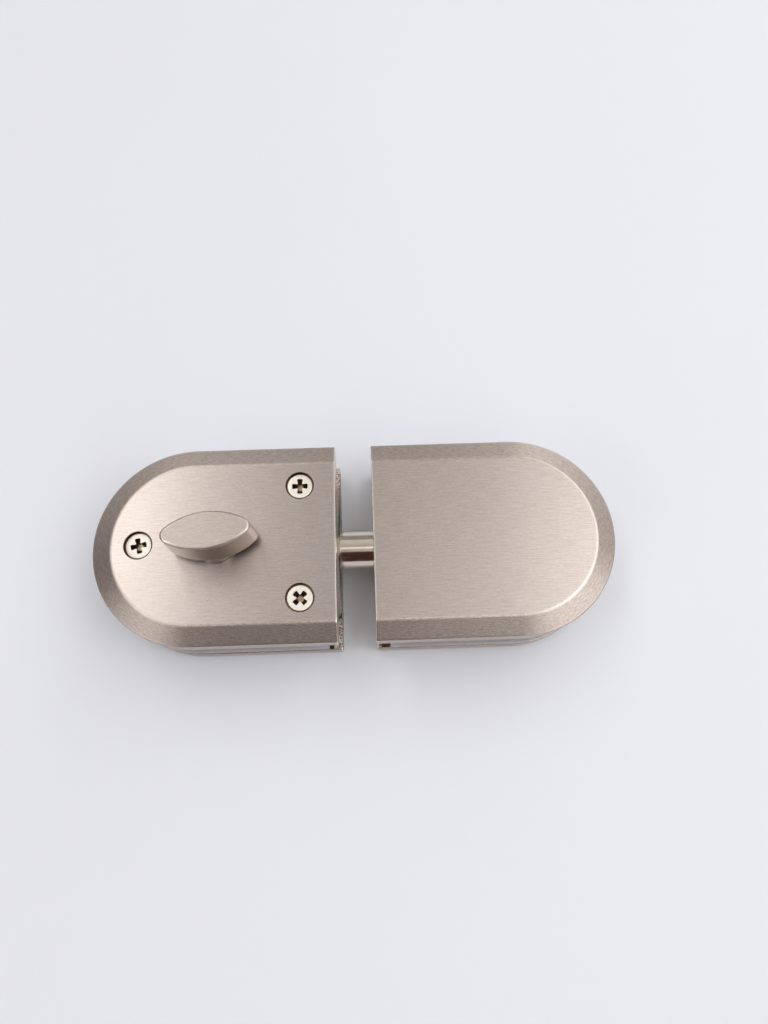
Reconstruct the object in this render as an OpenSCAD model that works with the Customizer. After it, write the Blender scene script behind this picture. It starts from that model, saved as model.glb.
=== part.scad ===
// Glass door latch for two frameless glass leaves: a lock half with a thumbturn and a round bolt,
// and a keeper half that takes the bolt. Each half clamps the glass between two cast plates.
// Both halves lie on their back plates with the bolt thrown. +X runs along the bolt from the lock to
// the keeper, +Z stands out of the front faces, and the origin is on the resting surface midway
// between the halves. Inside each half, x is measured inwards from the flat end of its front plate.

/* [Plates] */
// Width of each plate, across the bolt
plate_w = 60; // [56:1:66]
// Length of each plate, from the flat end to the round end
plate_len = 72; // [70:1:80]
// Thickness of each plate
plate_t = 8; // [7.8:0.1:9]
// Width of the sloping border round the face
bevel_w = 5.8; // [4:0.2:7]
// Drop of the sloping border from the face to the rim
bevel_drop = 2.2; // [1.5:0.1:3]
// Radius of the soft edge between face and border
arris_r = 3; // [1:0.5:5]
// Metal left behind the face over the hollow of the casting
face_t = 3.4; // [3:0.1:4]
// Depth of the seat that takes the case
seat_depth = 1.5; // [1.2:0.1:1.8]
// Width of the ledge that the case rests on
seat_ledge = 1.5; // [1:0.1:2]
// Distance between the flat ends of the two halves
end_gap = 11; // [4:1:14]
// How far the lock's back plate laps past its front plate
back_lap = 0.5; // [0.1:0.1:0.7]
// Width of the cast groove along the flat end
groove_w = 2; // [1.5:0.1:2.5]
// Depth of the cast groove along the flat end
groove_depth = 4; // [2:0.5:4.5]
// Metal left outside the groove, at the flat end and at the sides
groove_lip = 1; // [0.8:0.1:1.5]

/* [Glass] */
// Thickness of the glass that each half clamps
glass_t = 10; // [9:0.5:12]
// Thickness of each gasket
gasket_t = 1.5; // [1.2:0.1:2]
// Set-back of the gasket from the rim of the plate
gasket_inset = 0.4; // [0.2:0.1:1]
// Set-back of the gasket from the flat end
gasket_start = 3.6; // [3:0.2:6]

/* [Case] */
// Width of the lock case
case_w = 40; // [38:1:42]
// Reach of the lock case into the plate
case_len = 62; // [60:1:64]
// How far the case stands past the flat end
case_proud = 0.8; // [0.6:0.1:1.2]
// Side wall of the case
case_wall = 2; // [1.6:0.1:2.4]
// Thickness of the case cover
cover_t = 1.5; // [1.2:0.1:1.7]
// Length of the keeper block, from the flat end
keeper_len = 26; // [24:1:32]
// How far the keeper block stays behind the flat end
keeper_sink = 0.3; // [0.2:0.1:0.6]
// Depth of the keeper's socket, from the flat end
socket_depth = 20; // [18:0.5:21]

/* [Bolt] */
// Diameter of the bolt
bolt_d = 12; // [10:0.5:12.5]
// How far the tip of the drawn bolt still stands past the flat end
tip_left = 0.5; // [0.2:0.1:0.6]
// Chamfer round the tip
tip_chamfer = 1; // [0.5:0.25:2]
// Length of the bush at the mouth of the case
bush_len = 5.8; // [4:0.2:8]
// Wall of the bush at the mouth of the case
bush_wall = 1.2; // [0.8:0.1:1.3]
// Wall of the keeper's liner
liner_wall = 0.7; // [0.5:0.1:0.8]
// Radial room round the bolt in the keeper's liner
socket_room = 0.6; // [0.4:0.1:0.8]
// Thickness of the yoke plate that the crank pin drives
yoke_t = 3; // [2.5:0.1:3.5]

/* [Thumbturn] */
// Distance of the thumbturn's axis from the round end of the case
knob_back = 26.7; // [26.2:0.1:27.5]
// Length of the blade at its top
blade_len = 24.7; // [22:0.1:28]
// Width of the blade at its top
blade_w = 10.9; // [9:0.1:12]
// How much wider and longer the blade is at its foot
blade_flare = 1.2; // [0.4:0.1:2]
// Radius of the blade's two tips
blade_tip_r = 2.5; // [1.5:0.1:3]
// Height of the blade
blade_h = 11; // [8:0.5:14]
// Height of the round neck under the blade
neck_h = 3.05; // [2:0.05:5]
// Diameter of the round neck
neck_d = 12.4; // [12.2:0.1:13]
// Turn of the blade away from the bolt line when locked, in degrees
blade_turn = 5.8; // [0:0.1:8]
// Diameter of the shank that turns in the front plate
shank_d = 9; // [8:0.1:9.2]
// Width across the flats of the square spindle
spindle_af = 5; // [4:0.1:5.2]
// Distance of the crank pin from the axis
crank_r = 12.5; // [11.5:0.25:13]
// Diameter of the crank pin
pin_d = 4; // [3.5:0.1:4.4]
// Radius of the cam's hub
hub_r = 7.2; // [6.8:0.1:7.4]
// Diameter of the cam's journal in the case cover
journal_d = 12; // [11:0.5:13]

/* [Screws] */
// Diameter of the plate screws
screw_d = 4; // [3.5:0.5:4]
// Diameter of the plate screws' heads
head_d = 7.5; // [7:0.1:8]
// Distance of the front pair of plate screws from the inner end of the case's solid block
screw_back = 4.9; // [4.4:0.1:5.4]
// Depth of the screw heads below the plate's surface
head_sink = 0.8; // [0.4:0.1:1]
// Width of each slot of the cross recess
cross_w = 1.1; // [0.8:0.1:1.4]
// Diameter of the case cover's screws
cover_screw_d = 2.4; // [2:0.1:2.5]
// Diameter of the case cover's screw heads
cover_head_d = 4.4; // [4:0.1:4.6]

/* [Hidden] */
$fn = 96;

// Colours
nickel = [0.80, 0.77, 0.74];
dark_nickel = [0.62, 0.59, 0.56];
bright_nickel = [0.86, 0.85, 0.83];
rough_zinc = [0.50, 0.49, 0.48];
pale_gasket = [0.72, 0.74, 0.77];
brass_yellow = [0.74, 0.62, 0.34];
spring_steel = [0.42, 0.43, 0.46];

// Clearances
press_gap = 0.02;    // pressed and soldered fits
run_gap = 0.05;      // radial room of turning and sliding fits
face_gap = 0.1;      // along an axis, between faces that move on each other
seat_gap = 0.25;     // case to the wall of its seat
glass_gap = 0.5;     // case to the notch in the glass
end_room = 0.3;      // between pieces that only pass each other
cut = 1;             // how far a cut runs past the surface that it opens

// Levels above the resting surface
slot_h = glass_t + 2 * gasket_t;
total_h = 2 * plate_t + slot_h;
mid_z = total_h / 2;
case_h = slot_h + 2 * seat_depth;
case_z = mid_z - case_h / 2;
case_top = case_z + case_h;
cover_z = case_top - cover_t;

// Bolt and yoke
knob_x = case_len - knob_back;
bolt_r = bolt_d / 2;
bush_bore_r = bolt_r + run_gap;
bush_r = bush_bore_r + bush_wall;
liner_bore_r = bolt_r + socket_room;
liner_r = liner_bore_r + liner_wall;
crank_swing = 45;
pin_r = pin_d / 2;
pin_back = crank_r * cos(crank_swing);
pin_side = crank_r * sin(crank_swing);
stroke = 2 * pin_back;
tip_out = stroke + tip_left;
round_end = knob_x - hub_r - end_room - stroke;
tail_drop = 0.5;                       // flat top of the bolt's tail below the bolt's axis
tail_top = mid_z - tail_drop;
slot_play = 0.5;                       // room of the pin in the yoke's slot, on each side
slot_end_room = 0.3;
yoke_rim = 2.55;                       // metal beside the slot
yoke_tip = 1.2;                        // metal past the end of the slot
yoke_corner = 2.5;
slot_x = knob_x - pin_back;
slot_half = pin_r + slot_play;
slot_in = pin_side - pin_r - slot_end_room;
slot_out = crank_r + pin_r + slot_end_room;
yoke_half = slot_half + yoke_rim;
yoke_reach = slot_out + yoke_tip;
tail_end = slot_x + yoke_half + 1.5;
channel_end = tail_end + stroke + 0.8;
floor_z = tail_top - yoke_t - 0.2;
swing_gap = 1.2;                       // yoke to the bosses of the cover's front screws
cover_boss_r = 2.4;
cover_screw_x = slot_x - yoke_half - swing_gap - cover_boss_r;
block_len = cover_screw_x - 2.3;       // solid front block of the case, from the flat end
screw_x = block_len - screw_back;

// Cam
lever_w = 7.6;
lever_t = 3;
lever_z = tail_top + 0.4;
detent_rise = 1;                       // flats of the detent hub, set in from the lever's hub
detent_r = hub_r - 0.1;                // corners of the detent hub
detent_z = lever_z + lever_t;
journal_z = cover_z - face_gap;
cam_top = case_top + face_gap;
socket_af = spindle_af + 2 * run_gap;

// Detent spring, a bent strip that bears on the flat of the hub
spring_t = 0.5;
spring_h = 3;
spring_z = detent_z + 0.2;
spring_y = -(hub_r - detent_rise + run_gap + spring_t / 2);
spring_half = 8.3;
spring_leg = [4.5, -4];
post_r = 2.2;

// Thumbturn, measured down from the face of the front plate
knob_bush_len = 4.2;
knob_bush_wall = 0.95;
knob_bush_r = shank_d / 2 + run_gap + knob_bush_wall;
flange_r = knob_bush_r + 0.5;
flange_t = 0.6;
hub_boss_r = 8.5;
washer_t = 0.4;
washer_r = 7;
ring_t = 0.8;
ring_r = 6.5;
ring_mouth = 5;
groove_r = shank_d / 2 - 0.6;
neck_lift = 0.15;
washer_z = total_h - knob_bush_len - run_gap - washer_t;
ring_z = washer_z - run_gap - ring_t;
shank_z = case_top + 0.4;
neck_z = total_h + neck_lift;
blade_z = neck_z + neck_h;
blade_top = blade_z + blade_h;
blade_soft = 0.7;                      // height and inset of the blade's soft top edge
spindle_z = lever_z + 0.6;
spindle_top = blade_z + 1.8;
slice_t = 0.01;

// Plate screws
screw_r = screw_d / 2;
hole_r = screw_r + 0.2;
sink_r = head_d / 2 + 0.4;
head_r = head_d / 2;
head_land = 0.45;
shank_r = screw_r - press_gap;
screw_inset = 3;                       // front pair of screws to the side of the case
screw_y = case_w / 2 - screw_inset;
boss_r = 4.5;
post_boss_r = 4;
screw_back_x = case_len - post_boss_r;
// Each spot is [x, y, turn of the cross recess]
screw_spots = [[screw_x, -screw_y, 45], [screw_x, screw_y, 0], [screw_back_x, 0, -12]];
screw_foot = 3.2;                      // screw tip to the far face of the other plate
hole_foot = 2.6;                       // bottom of the tapped hole to the same face
cross_half = 2.3;
cross_depth = 1.3;

// Case cover
cover_x = block_len - 1.9;
cover_room = 0.1;
cover_sink = 0.1;
cover_screw_len = 7;
cover_slot_w = 0.7;
cover_slot_depth = 0.6;
round_x = case_len - case_w / 2;
rear_reach = case_w / 2 - 3.7;
cover_spots = [for (side = [-1, 1], rear = [0, 1])
    rear ? [round_x + rear_reach * cos(45), side * rear_reach * sin(45)]
         : [cover_screw_x, side * (case_w / 2 - 5)]];

// Shared shapes

module lock_side() {
    translate([-end_gap / 2, 0, 0]) mirror([1, 0, 0]) children();
}

module keeper_side() {
    translate([end_gap / 2, 0, 0]) children();
}

// Turns a shape over, front to back, about the middle of the glass
module turned_over() {
    translate([0, 0, total_h]) mirror([0, 0, 1]) children();
}

// Flat tongue of width w from x0 to the round end at x1
module tongue(w, x0, x1) {
    centre_x = x1 - w / 2;
    translate([x0, -w / 2]) square([centre_x - x0, w]);
    translate([centre_x, 0]) intersection() {
        circle(d = w);
        translate([0, -w]) square([w, 2 * w]);
    }
}

// Half cross-section of a plate, from its middle to its rim, inner side down
arris_turn = atan(bevel_drop / bevel_w);
arris_x = plate_w / 2 - bevel_w - arris_r * tan(arris_turn / 2);
arris_steps = 4;
arris = [for (i = [0:arris_steps])
    let (turn = 90 - arris_turn + arris_turn * i / arris_steps)
    [arris_x + arris_r * cos(turn), plate_t - arris_r + arris_r * sin(turn)]];
rim_soft = 0.3;
half_section = concat(
    [[0, 0], [plate_w / 2 - rim_soft, 0], [plate_w / 2, rim_soft], [plate_w / 2, plate_t - bevel_drop]],
    arris,
    [[0, plate_t]]
);

// Plain casting, inner side at z = 0
module plate_blank(start) {
    centre_x = plate_len - plate_w / 2;
    translate([start, 0, 0]) rotate([90, 0, 90]) linear_extrude(centre_x - start) {
        polygon(half_section);
        mirror([1, 0]) polygon(half_section);
    }
    translate([centre_x, 0, 0]) rotate([0, 0, -90]) rotate_extrude(angle = 180) polygon(half_section);
}

// Seat for the case, and the hollow behind the face with a boss round each screw
module plate_hollow() {
    seat_w = case_w + 2 * seat_gap;
    translate([0, 0, -cut]) linear_extrude(seat_depth + cut) {
        tongue(seat_w, -5, case_len + seat_gap);
    }
    difference() {
        linear_extrude(plate_t - face_t) {
            tongue(case_w - 2 * seat_ledge, groove_lip + groove_w, case_len - seat_ledge);
        }
        for (spot = screw_spots) {
            translate([spot[0], spot[1], -cut]) cylinder(r = boss_r, h = plate_t + 2 * cut);
        }
    }
}

// Grooves along the flat end, one on each side of the seat
module end_grooves() {
    inner_y = case_w / 2 + seat_gap + groove_lip;
    outer_y = plate_w / 2 - groove_lip;
    for (side = [0, 1]) {
        mirror([0, side, 0]) translate([groove_lip, inner_y, -cut]) {
            cube([groove_w, outer_y - inner_y, groove_depth + cut]);
        }
    }
}

// Countersunk clearance holes from the outside of a plate
module sunk_holes() {
    cone_top = plate_t - head_sink - head_land - face_gap;
    cone_h = head_r - hole_r;
    for (spot = screw_spots) {
        translate([spot[0], spot[1], 0]) {
            translate([0, 0, -cut]) cylinder(r = hole_r, h = plate_t + 2 * cut);
            translate([0, 0, cone_top - cone_h]) cylinder(r1 = hole_r, r2 = head_r, h = cone_h);
            translate([0, 0, cone_top]) cylinder(r = sink_r, h = plate_t);
        }
    }
}

// Blind tapped holes from the inside of a plate
module tapped_holes() {
    for (spot = screw_spots) {
        translate([spot[0], spot[1], -cut]) cylinder(r = screw_r, h = plate_t - hole_foot + cut);
    }
}

module plate(start = 0, sunk = false) {
    difference() {
        plate_blank(start);
        plate_hollow();
        end_grooves();
        if (sunk) sunk_holes();
        else tapped_holes();
    }
}

// A plate of either kind at the front or at the back of its half
module front_place() {
    translate([0, 0, total_h - plate_t]) children();
}

module back_place() {
    turned_over() front_place() children();
}

// Gasket between plate and glass, open where the case passes
module gasket() {
    linear_extrude(gasket_t) difference() {
        tongue(plate_w - 2 * gasket_inset, gasket_start, plate_len - gasket_inset);
        tongue(case_w + 2 * glass_gap, gasket_start - cut, case_len + glass_gap);
    }
}

// Countersunk screws with a cross recess, pointing down from the front face
module plate_screws() {
    head_top = total_h - head_sink;
    cone_top = head_top - head_land;
    cone_h = head_r - shank_r;
    for (spot = screw_spots) {
        translate([spot[0], spot[1], 0]) difference() {
            union() {
                translate([0, 0, screw_foot]) cylinder(r = shank_r, h = cone_top - screw_foot);
                translate([0, 0, cone_top - cone_h]) cylinder(r1 = shank_r, r2 = head_r, h = cone_h);
                translate([0, 0, cone_top]) cylinder(r = head_r, h = head_land);
            }
            for (turn = [spot[2], spot[2] + 90]) {
                translate([0, 0, head_top - cross_depth]) rotate([0, 0, turn]) {
                    translate([-cross_half, -cross_w / 2, 0]) {
                        cube([2 * cross_half, cross_w, cross_depth + cut]);
                    }
                }
            }
        }
    }
}

module screw_ways() {
    for (spot = screw_spots) {
        translate([spot[0], spot[1], case_z - cut]) cylinder(r = hole_r, h = case_h + 2 * cut);
    }
}

// Bore along the bolt from x0 to x1
module bolt_way(r, x0, x1) {
    translate([x0, 0, mid_z]) rotate([0, 90, 0]) cylinder(r = r, h = x1 - x0);
}

module tube(outer_r, inner_r, h) {
    difference() {
        cylinder(r = outer_r, h = h);
        translate([0, 0, -cut]) cylinder(r = inner_r, h = h + 2 * cut);
    }
}

// Lock half

module lock_front_plate() color(nickel) lock_side() front_place() {
    difference() {
        union() {
            plate(0, sunk = true);
            translate([knob_x, 0, plate_t - knob_bush_len]) cylinder(r = hub_boss_r, h = knob_bush_len - 1);
        }
        translate([knob_x, 0, -cut]) cylinder(r = knob_bush_r + press_gap, h = plate_t + 2 * cut);
        translate([knob_x, 0, plate_t - flange_t]) cylinder(r = flange_r + face_gap, h = flange_t + cut);
    }
}

module lock_back_plate() color(nickel) lock_side() back_place() plate(-back_lap);

module lock_front_gasket() color(pale_gasket) lock_side() {
    translate([0, 0, total_h - plate_t - gasket_t]) gasket();
}

module lock_back_gasket() color(pale_gasket) lock_side() {
    translate([0, 0, plate_t]) gasket();
}

module lock_plate_screws() color(bright_nickel) lock_side() plate_screws();

// Posts that hold the two legs of the detent spring
module spring_posts() {
    for (side = [-1, 1]) {
        foot = [knob_x + side * (spring_half + spring_leg[0]), spring_y + spring_leg[1]];
        lean = atan2(spring_leg[1], side * spring_leg[0]);
        difference() {
            translate([foot[0], foot[1], floor_z - cut]) cylinder(r = post_r, h = cover_z - floor_z + cut);
            translate([foot[0], foot[1], spring_z - face_gap]) rotate([0, 0, lean]) {
                slit = spring_t + 2 * run_gap;
                translate([-2 * post_r, -slit / 2, 0]) cube([2 * post_r + run_gap, slit, case_h]);
            }
        }
    }
}

// Shell of the case: a solid block that guides the bolt and a hollow behind it
module case_body() color(rough_zinc) lock_side() {
    difference() {
        union() {
            translate([0, 0, case_z]) linear_extrude(case_h - cover_t) {
                tongue(case_w, -case_proud, case_len);
            }
            translate([-case_proud, -case_w / 2, case_z]) {
                cube([cover_x - cover_room + case_proud, case_w, case_h]);
            }
        }
        difference() {
            translate([0, 0, floor_z]) linear_extrude(case_h) {
                tongue(case_w - 2 * case_wall, block_len, case_len - case_wall);
            }
            translate([screw_back_x, 0, 0]) cylinder(r = post_boss_r, h = cover_z);
            for (spot = cover_spots) {
                translate([spot[0], spot[1], 0]) cylinder(r = cover_boss_r, h = cover_z);
            }
            spring_posts();
        }
        bolt_way(bush_bore_r, -case_proud - cut, channel_end);
        bolt_way(bush_r + press_gap, -case_proud - cut, bush_len - case_proud);
        screw_ways();
        for (spot = cover_spots) {
            translate([spot[0], spot[1], floor_z]) cylinder(d = cover_screw_d, h = case_h);
        }
    }
}

module cover_sinks() {
    cone_h = (cover_head_d - cover_screw_d) / 2;
    for (spot = cover_spots) {
        translate([spot[0], spot[1], case_z]) cylinder(d = cover_screw_d + 2 * face_gap, h = case_h + cut);
        translate([spot[0], spot[1], case_top - cover_sink - cone_h - face_gap]) {
            cylinder(d1 = cover_screw_d, d2 = cover_head_d, h = cone_h);
        }
        translate([spot[0], spot[1], case_top - cover_sink - face_gap]) {
            cylinder(d = cover_head_d + 2 * face_gap, h = cut);
        }
    }
}

module case_cover() color(rough_zinc) lock_side() {
    difference() {
        translate([0, 0, cover_z]) linear_extrude(cover_t) tongue(case_w, cover_x, case_len);
        translate([knob_x, 0, cover_z - cut]) cylinder(r = journal_d / 2 + run_gap, h = cover_t + 2 * cut);
        screw_ways();
        cover_sinks();
    }
}

module case_cover_screws() color(spring_steel) lock_side() {
    cone_h = (cover_head_d - cover_screw_d) / 2;
    head_top = case_top - cover_sink;
    for (spot = cover_spots) {
        translate([spot[0], spot[1], 0]) difference() {
            union() {
                translate([0, 0, head_top - cover_screw_len]) {
                    cylinder(r = cover_screw_d / 2 - press_gap, h = cover_screw_len - cone_h);
                }
                translate([0, 0, head_top - cone_h]) {
                    cylinder(r1 = cover_screw_d / 2 - press_gap, r2 = cover_head_d / 2, h = cone_h);
                }
            }
            translate([-cover_head_d, -cover_slot_w / 2, head_top - cover_slot_depth]) {
                cube([2 * cover_head_d, cover_slot_w, cut]);
            }
        }
    }
}

module bolt_bush() color(brass_yellow) lock_side() {
    difference() {
        bolt_way(bush_r, -case_proud - face_gap, bush_len - case_proud);
        bolt_way(bush_bore_r, -case_proud - cut, bush_len);
    }
}

// Round bolt with a half-round tail and the yoke that the crank pin drives
module bolt() color(bright_nickel) lock_side() {
    difference() {
        union() {
            bolt_way(bolt_r, tip_chamfer - tip_out, tail_end);
            translate([-tip_out, 0, mid_z]) rotate([0, 90, 0]) {
                cylinder(r1 = bolt_r - tip_chamfer, r2 = bolt_r, h = tip_chamfer);
            }
        }
        translate([round_end, -bolt_d, tail_top]) cube([tail_end, 2 * bolt_d, bolt_d]);
    }
    translate([slot_x, 0, tail_top - yoke_t]) linear_extrude(yoke_t) difference() {
        polygon([
            [-yoke_half, 0],
            [yoke_half, 0],
            [yoke_half, yoke_reach - yoke_corner],
            [yoke_half - yoke_corner, yoke_reach],
            [yoke_corner - yoke_half, yoke_reach],
            [-yoke_half, yoke_reach - yoke_corner]
        ]);
        translate([-slot_half, slot_in]) square([2 * slot_half, slot_out - slot_in]);
    }
}

// Crank lever, detent hub and journal in one piece
module cam() color(brass_yellow) lock_side() translate([knob_x, 0, 0]) {
    flat = 2 * (hub_r - detent_rise);
    difference() {
        union() {
            translate([0, 0, lever_z]) rotate([0, 0, 90 + crank_swing]) {
                cylinder(r = hub_r, h = lever_t);
                translate([0, -lever_w / 2, 0]) cube([crank_r, lever_w, lever_t]);
                translate([crank_r, 0, 0]) cylinder(r = pin_r + 2, h = lever_t);
            }
            translate([0, 0, detent_z]) linear_extrude(journal_z - detent_z) intersection() {
                circle(r = detent_r);
                square(flat, center = true);
            }
            translate([0, 0, journal_z]) cylinder(d = journal_d, h = cam_top - journal_z);
        }
        translate([-socket_af / 2, -socket_af / 2, lever_z - cut]) cube([socket_af, socket_af, case_h]);
        translate([-pin_back, pin_side, lever_z - cut]) {
            cylinder(r = pin_r + press_gap, h = lever_t + 2 * cut);
        }
    }
}

module drive_pin() color(spring_steel) lock_side() {
    pin_z = floor_z + 0.4;
    translate([slot_x, pin_side, pin_z]) cylinder(r = pin_r, h = lever_z + lever_t - pin_z);
}

// One straight run of the spring strip between two points
module strip(a, b) {
    run = b - a;
    translate(a) rotate([0, 0, atan2(run[1], run[0])]) translate([0, -spring_t / 2]) {
        square([norm(run), spring_t]);
    }
}

module detent_spring() color(spring_steel) lock_side() {
    lap = 0.5 * spring_t * tan(20);    // closes the outside of each bend
    translate([knob_x, spring_y, spring_z]) linear_extrude(spring_h) {
        strip([-spring_half - lap, 0], [spring_half + lap, 0]);
        for (side = [-1, 1]) {
            strip([side * spring_half, 0], [side * (spring_half + spring_leg[0]), spring_leg[1]]);
        }
    }
}

// Pointed oval of the thumbturn: two arcs that meet in rounded tips
module blade_oval(len, wid, tip_r) {
    half_len = len / 2 - tip_r;
    half_wid = wid / 2 - tip_r;
    arc_r = (half_len * half_len + half_wid * half_wid) / (2 * half_wid);
    offset(r = tip_r, $fn = 32) intersection_for(side = [-1, 1]) {
        translate([0, side * (arc_r - half_wid)]) circle(r = arc_r, $fn = 80);
    }
}

module blade_slice(grow, tip_r, z) {
    translate([0, 0, z]) linear_extrude(slice_t) blade_oval(blade_len + grow, blade_w + grow, tip_r);
}

module thumbturn_knob() color(nickel) lock_side() translate([knob_x, 0, 0]) {
    difference() {
        union() {
            rotate([0, 0, -blade_turn]) hull() {
                blade_slice(blade_flare, blade_tip_r, blade_z);
                blade_slice(0.1 * blade_flare, blade_tip_r, blade_top - blade_soft);
                blade_slice(-0.6 * blade_soft, blade_tip_r - 0.3 * blade_soft, blade_top - 0.3 * blade_soft);
                blade_slice(-2 * blade_soft, blade_tip_r - blade_soft, blade_top - slice_t);
            }
            translate([0, 0, neck_z]) cylinder(d = neck_d, h = neck_h + cut);
            translate([0, 0, shank_z]) cylinder(d = shank_d, h = neck_z - shank_z);
        }
        translate([0, 0, ring_z - run_gap]) tube(shank_d, groove_r, ring_t + 2 * run_gap);
        translate([-socket_af / 2, -socket_af / 2, shank_z - cut]) {
            cube([socket_af, socket_af, spindle_top + end_room - shank_z + cut]);
        }
    }
}

module spindle() color(spring_steel) lock_side() {
    translate([knob_x - spindle_af / 2, -spindle_af / 2, spindle_z]) {
        cube([spindle_af, spindle_af, spindle_top - spindle_z]);
    }
}

module knob_bush() color(brass_yellow) lock_side() translate([knob_x, 0, 0]) {
    tube_z = total_h - knob_bush_len;
    difference() {
        union() {
            translate([0, 0, tube_z]) cylinder(r = knob_bush_r, h = knob_bush_len);
            translate([0, 0, total_h - flange_t]) cylinder(r = flange_r, h = flange_t);
        }
        translate([0, 0, tube_z - cut]) cylinder(r = shank_d / 2 + run_gap, h = knob_bush_len + 2 * cut);
    }
}

module knob_washer() color(spring_steel) lock_side() {
    translate([knob_x, 0, washer_z]) tube(washer_r, shank_d / 2 + face_gap, washer_t);
}

// Open ring that snaps into the groove of the shank
module retaining_ring() color(spring_steel) lock_side() translate([knob_x, 0, ring_z]) {
    difference() {
        tube(ring_r, groove_r + run_gap, ring_t);
        translate([0, -ring_mouth / 2, -cut]) cube([2 * ring_r, ring_mouth, ring_t + 2 * cut]);
    }
}

// Keeper half

module keeper_front_plate() color(nickel) keeper_side() front_place() plate();

module keeper_back_plate() color(nickel) keeper_side() back_place() plate(sunk = true);

module keeper_front_gasket() color(pale_gasket) keeper_side() {
    translate([0, 0, total_h - plate_t - gasket_t]) gasket();
}

module keeper_back_gasket() color(pale_gasket) keeper_side() {
    translate([0, 0, plate_t]) gasket();
}

// Block behind the keeper's mouth, drilled for the liner and for the front pair of screws
module keeper_block() color(rough_zinc) keeper_side() {
    difference() {
        translate([keeper_sink, -case_w / 2, case_z]) cube([keeper_len - keeper_sink, case_w, case_h]);
        bolt_way(liner_r + press_gap, keeper_sink - cut, socket_depth);
        screw_ways();
    }
}

module keeper_liner() color(brass_yellow) keeper_side() {
    difference() {
        bolt_way(liner_r, keeper_sink - face_gap, socket_depth);
        bolt_way(liner_bore_r, keeper_sink - cut, socket_depth + cut);
    }
}

module keeper_spacer() color(dark_nickel) keeper_side() {
    translate([screw_back_x, 0, case_z]) tube(post_boss_r, hole_r, case_h);
}

module keeper_screws() color(bright_nickel) keeper_side() turned_over() plate_screws();

lock_front_plate();
lock_back_plate();
lock_front_gasket();
lock_back_gasket();
lock_plate_screws();
case_body();
case_cover();
case_cover_screws();
bolt_bush();
bolt();
cam();
drive_pin();
detent_spring();
thumbturn_knob();
spindle();
knob_bush();
knob_washer();
retaining_ring();
keeper_front_plate();
keeper_back_plate();
keeper_front_gasket();
keeper_back_gasket();
keeper_block();
keeper_liner();
keeper_spacer();
keeper_screws();
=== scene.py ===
import math

import bpy
import bmesh
import numpy as np
from mathutils import Matrix


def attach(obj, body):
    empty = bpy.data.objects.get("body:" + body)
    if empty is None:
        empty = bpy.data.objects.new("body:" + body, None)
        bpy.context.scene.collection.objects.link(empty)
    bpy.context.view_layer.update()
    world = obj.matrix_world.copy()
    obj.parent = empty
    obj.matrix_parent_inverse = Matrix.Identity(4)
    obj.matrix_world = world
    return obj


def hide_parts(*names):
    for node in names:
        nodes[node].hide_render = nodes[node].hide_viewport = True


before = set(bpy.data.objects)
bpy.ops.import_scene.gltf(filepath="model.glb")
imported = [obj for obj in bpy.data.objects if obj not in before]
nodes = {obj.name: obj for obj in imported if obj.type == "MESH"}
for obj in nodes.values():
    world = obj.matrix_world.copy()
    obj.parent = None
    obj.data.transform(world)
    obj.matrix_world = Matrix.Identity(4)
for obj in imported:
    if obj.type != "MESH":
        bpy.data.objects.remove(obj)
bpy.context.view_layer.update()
mm = 0.001
totalHeight = 29.0      # over the back and front faces of a half, mm
middle = totalHeight / 2
print("frame loaded:", len(nodes), "nodes")


# sRGB hex to linear: c / 12.92 up to 0.04045, else ((c + 0.055) / 1.055) to the power 2.4
def linearColour(hexCode):
    channels = np.array([int(hexCode[i:i + 2], 16) for i in (1, 3, 5)]) / 255
    linear = np.where(channels <= 0.04045, channels / 12.92, ((channels + 0.055) / 1.055) ** 2.4)
    return (*linear.tolist(), 1.0)


# adds one node; an input is given a value, or (node, output) to link from
def addNode(tree, kind, settings=None, inputs=None):
    node = tree.nodes.new("ShaderNode" + kind)
    for name, value in (settings or {}).items():
        setattr(node, name, value)
    for name, value in (inputs or {}).items():
        if isinstance(value, tuple) and isinstance(value[0], bpy.types.Node):
            tree.links.new(value[0].outputs[value[1]], node.inputs[name])
        else:
            node.inputs[name].default_value = value
    return node


# a new material with its Principled shader's own values set
def startMaterial(name, values):
    material = bpy.data.materials.new(name)
    material.use_nodes = True
    shader = material.node_tree.nodes["Principled BSDF"]
    for socket, value in values.items():
        shader.inputs[socket].default_value = value
    return material, material.node_tree, shader


# shared by every brushed surface: share of the short streaks, the part of the noise that the two tones span,
# patches of handling (size in mm, and their share of the roughness), and how dark a pit gets
brushedLook = dict(shortShare=0.45, span=(0.36, 0.64), patchSize=14.0, patchShare=0.4, pitShade=0.7)


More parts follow.
